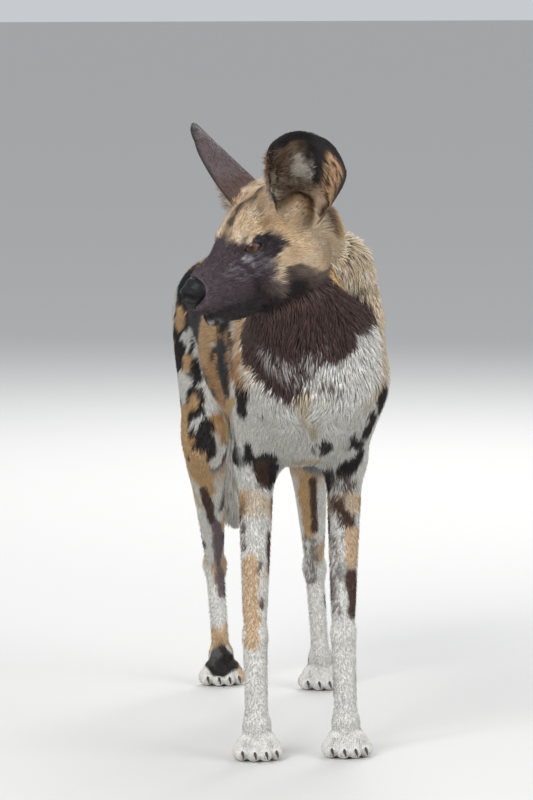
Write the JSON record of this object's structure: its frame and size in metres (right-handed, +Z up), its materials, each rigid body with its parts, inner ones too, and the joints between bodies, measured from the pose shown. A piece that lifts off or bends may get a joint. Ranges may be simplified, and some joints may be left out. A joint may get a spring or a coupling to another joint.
{
  "type": "african wild dog",
  "caption": "Life-size standing African wild dog with its head turned to its right, round ears, a blotched coat, a dark throat bib and a white tail brush.",
  "frame": {"origin": "on the floor under the middle of the dog's bounding box", "axes": "+Z up, -Y the way the dog's body faces, +X to the dog's left"},
  "size_m": [0.3386, 1.0152, 0.8288],
  "materials": {
    "face_coat": "short dark face fur with a cream brow and cheek",
    "ear_coat": "short black and grey fur with a pale inner fringe",
    "ruff_coat": "long soft fur, cream and tan with a brown bib",
    "body_coat": "short coarse fur in ochre, black and white patches",
    "leg_coat": "short fur, white with black and tan patches",
    "tail_coat": "bushy fur, tan and black above a white brush",
    "nose_leather": "damp pebbled leather",
    "eye": "wet and glossy over a brown iris",
    "claw": "worn dark horn"
  },
  "bodies": {
    "root": {"head": "face_coat", "lower_jaw": "face_coat", "nose": "nose_leather", "eye_left": "eye", "ear_left": "ear_coat", "eye_right": "eye", "ear_right": "ear_coat", "neck": "ruff_coat", "chest": "body_coat", "loin": "body_coat", "tail_base": "tail_coat", "tail_middle": "tail_coat", "tail_brush": "tail_coat", "foreleg_left": "leg_coat", "forefoot_left": "leg_coat", "claw_fore_left_1": "claw", "claw_fore_left_2": "claw", "claw_fore_left_3": "claw", "claw_fore_left_4": "claw", "foreleg_right": "leg_coat", "forefoot_right": "leg_coat", "claw_fore_right_1": "claw", "claw_fore_right_2": "claw", "claw_fore_right_3": "claw", "claw_fore_right_4": "claw", "hindleg_left": "leg_coat", "hindfoot_left": "leg_coat", "claw_hind_left_1": "claw", "claw_hind_left_2": "claw", "claw_hind_left_3": "claw", "claw_hind_left_4": "claw", "hindleg_right": "leg_coat", "hindfoot_right": "leg_coat", "claw_hind_right_1": "claw", "claw_hind_right_2": "claw", "claw_hind_right_3": "claw", "claw_hind_right_4": "claw"}
  },
  "joints": []
}
